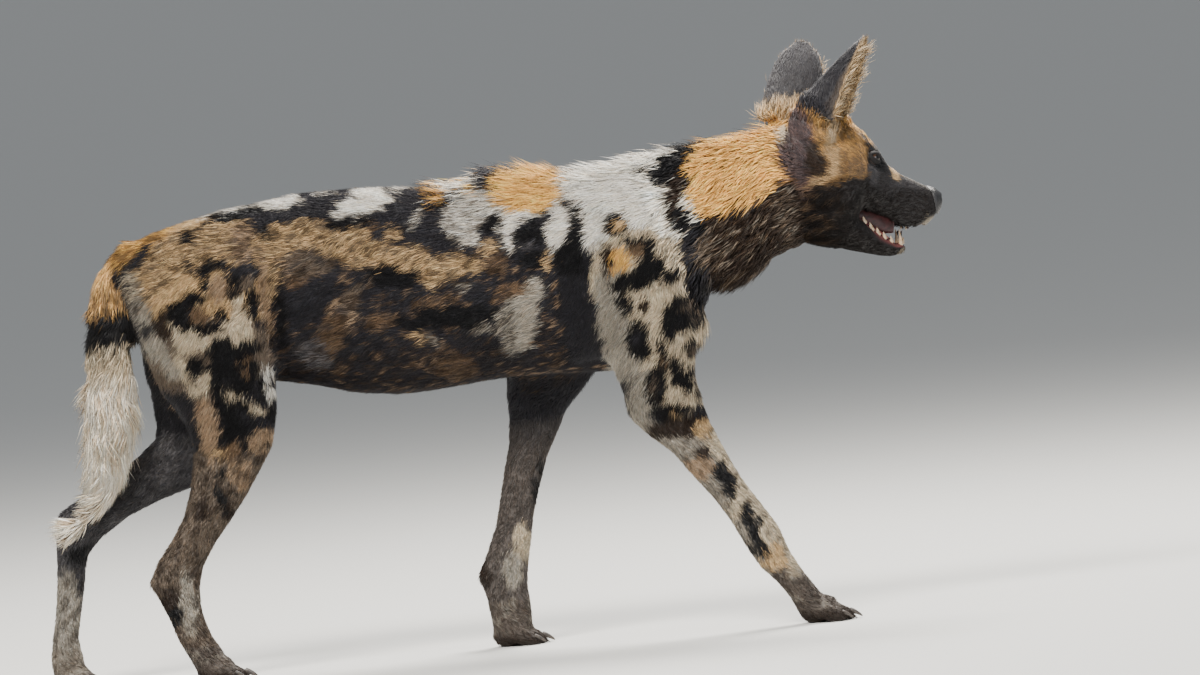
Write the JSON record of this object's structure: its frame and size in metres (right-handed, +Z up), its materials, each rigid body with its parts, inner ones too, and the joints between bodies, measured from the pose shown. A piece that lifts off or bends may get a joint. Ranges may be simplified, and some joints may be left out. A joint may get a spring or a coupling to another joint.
{
  "type": "african wild dog figure",
  "caption": "Life-size still model of an African wild dog at a walk, head up, ears raised and mouth a little open, standing on its paws.",
  "frame": {"origin": "centre of the floor rectangle under the animal, level with the soles of the paws", "axes": "+X the way the animal walks, +Y to its left, +Z up"},
  "size_m": [1.2171, 0.1982, 0.749],
  "materials": {
    "coat_tan": "short rough fur, bright orange to tan-brown",
    "coat_dark": "short sleek fur, bluish black",
    "coat_pale": "short fur, cream white",
    "coat_leg": "very short fur, grey-brown and blotched",
    "nose": "damp black nose leather",
    "eye": "wet dark amber-brown eye",
    "tongue": "moist red-pink",
    "tooth": "glossy cream enamel",
    "claw": "dull dark horn"
  },
  "bodies": {
    "root": {"claw_fore_left_1": "claw", "claw_fore_left_2": "claw", "claw_fore_left_3": "claw", "claw_fore_left_4": "claw", "claw_fore_right_1": "claw", "claw_fore_right_2": "claw", "claw_fore_right_3": "claw", "claw_fore_right_4": "claw", "claw_hind_left_1": "claw", "claw_hind_left_2": "claw", "claw_hind_left_3": "claw", "claw_hind_left_4": "claw", "claw_hind_right_1": "claw", "claw_hind_right_2": "claw", "claw_hind_right_3": "claw", "claw_hind_right_4": "claw", "ear_left": "coat_dark", "ear_right": "coat_dark", "eye_left": "eye", "eye_right": "eye", "forearm_left": "coat_leg", "forearm_right": "coat_leg", "forepaw_left": "coat_dark", "forepaw_right": "coat_dark", "head": "coat_dark", "hindpaw_left": "coat_dark", "hindpaw_right": "coat_dark", "hock_left": "coat_leg", "hock_right": "coat_leg", "jaw": "coat_dark", "neck": "coat_tan", "nose": "nose", "shank_left": "coat_leg", "shank_right": "coat_leg", "tail_plume": "coat_pale", "tail_root": "coat_tan", "thigh_left": "coat_tan", "thigh_right": "coat_tan", "tongue": "tongue", "trunk": "coat_tan", "upper_arm_left": "coat_pale", "upper_arm_right": "coat_pale"}
  },
  "joints": []
}
